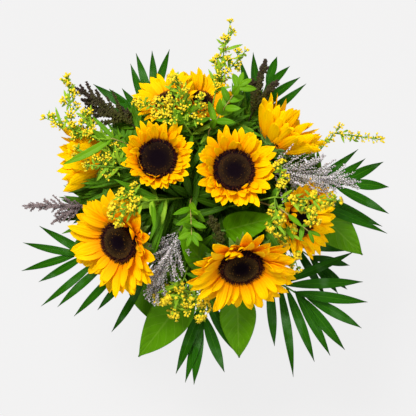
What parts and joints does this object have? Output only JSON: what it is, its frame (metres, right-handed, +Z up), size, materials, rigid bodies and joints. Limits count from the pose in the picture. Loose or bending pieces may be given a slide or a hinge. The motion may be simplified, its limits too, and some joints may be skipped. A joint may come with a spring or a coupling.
{
  "type": "bunch of sunflowers",
  "caption": "Domed hand-tied bunch of sunflowers with goldenrod, statice, heather, palm fronds and broad leaves, standing on its spiral of cut stems.",
  "frame": {"origin": "on the standing plane under the middle of the whole bunch", "axes": "+Z up along the bunch; +X to the right and +Y to the top of the picture, which looks straight down"},
  "size_m": [0.468, 0.4488, 0.4551],
  "materials": {
    "petals": "velvety golden petals, orange at the base, with fine grooves",
    "disc": "dark brown florets, a golden-brown ring round a near-black middle",
    "stem": "hairy mid-green stem, cup and bracts",
    "palm": "deep green leaflets with a waxy gloss",
    "leaf": "bright green leaf with pale ribs, satin",
    "goldenrod": "yellow buds on lime-green twigs",
    "statice": "papery grey-lilac florets",
    "heather": "dark olive and brown buds",
    "sprig": "fresh green leaflets on a reddish twig",
    "twine": "natural jute twine"
  },
  "bodies": {
    "root": {"bloom_a_petals": "petals", "bloom_a_disc": "disc", "bloom_a_stem": "stem", "bloom_b_petals": "petals", "bloom_b_disc": "disc", "bloom_b_stem": "stem", "bloom_c_petals": "petals", "bloom_c_disc": "disc", "bloom_c_stem": "stem", "bloom_d_petals": "petals", "bloom_d_disc": "disc", "bloom_d_stem": "stem", "bloom_e_petals": "petals", "bloom_e_disc": "disc", "bloom_e_stem": "stem", "bloom_f_petals": "petals", "bloom_f_disc": "disc", "bloom_f_stem": "stem", "bloom_g_petals": "petals", "bloom_g_disc": "disc", "bloom_g_stem": "stem", "bloom_h_petals": "petals", "bloom_h_disc": "disc", "bloom_h_stem": "stem", "bloom_i_petals": "petals", "bloom_i_disc": "disc", "bloom_i_stem": "stem", "palm_1": "palm", "palm_2": "palm", "palm_3": "palm", "palm_4": "palm", "palm_5": "palm", "palm_6": "palm", "palm_7": "palm", "palm_8": "palm", "broad_leaf_1": "leaf", "broad_leaf_2": "leaf", "broad_leaf_3": "leaf", "broad_leaf_4": "leaf", "broad_leaf_5": "leaf", "broad_leaf_6": "leaf", "goldenrod_1": "goldenrod", "goldenrod_2": "goldenrod", "goldenrod_3": "goldenrod", "goldenrod_4": "goldenrod", "goldenrod_5": "goldenrod", "goldenrod_6": "goldenrod", "goldenrod_7": "goldenrod", "goldenrod_8": "goldenrod", "statice_1": "statice", "statice_2": "statice", "statice_3": "statice", "heather_1": "heather", "heather_2": "heather", "heather_3": "heather", "leafy_sprig_1": "sprig", "leafy_sprig_2": "sprig", "leafy_sprig_3": "sprig", "leafy_sprig_4": "sprig", "tie": "twine"}
  },
  "joints": []
}
